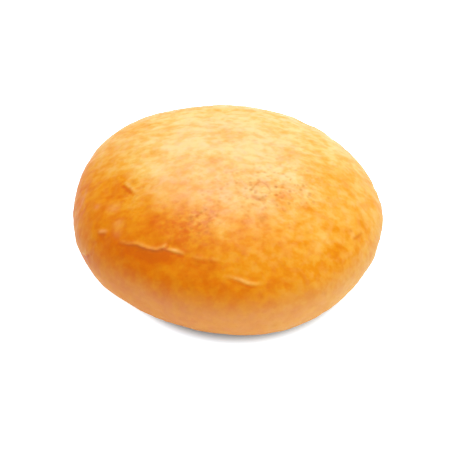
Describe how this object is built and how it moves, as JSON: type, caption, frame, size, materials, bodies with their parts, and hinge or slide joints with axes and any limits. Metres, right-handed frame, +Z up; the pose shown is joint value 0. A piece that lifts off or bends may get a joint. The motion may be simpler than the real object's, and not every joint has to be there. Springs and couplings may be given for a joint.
{
  "type": "flatbread",
  "caption": "Thick round flatbread, domed like a bun, with a soft mottled golden crust, a rounded foot and a flat underside to rest on.",
  "frame": {"origin": "middle of the flat underside's face, at the centre of the loaf's bounding box", "axes": "+Z up through the crown, +X along the loaf's long way, +Y across it"},
  "size_m": [0.13, 0.122, 0.049],
  "materials": {
    "crust": "satin"
  },
  "bodies": {
    "root": {"flatbread": "crust"}
  },
  "joints": []
}
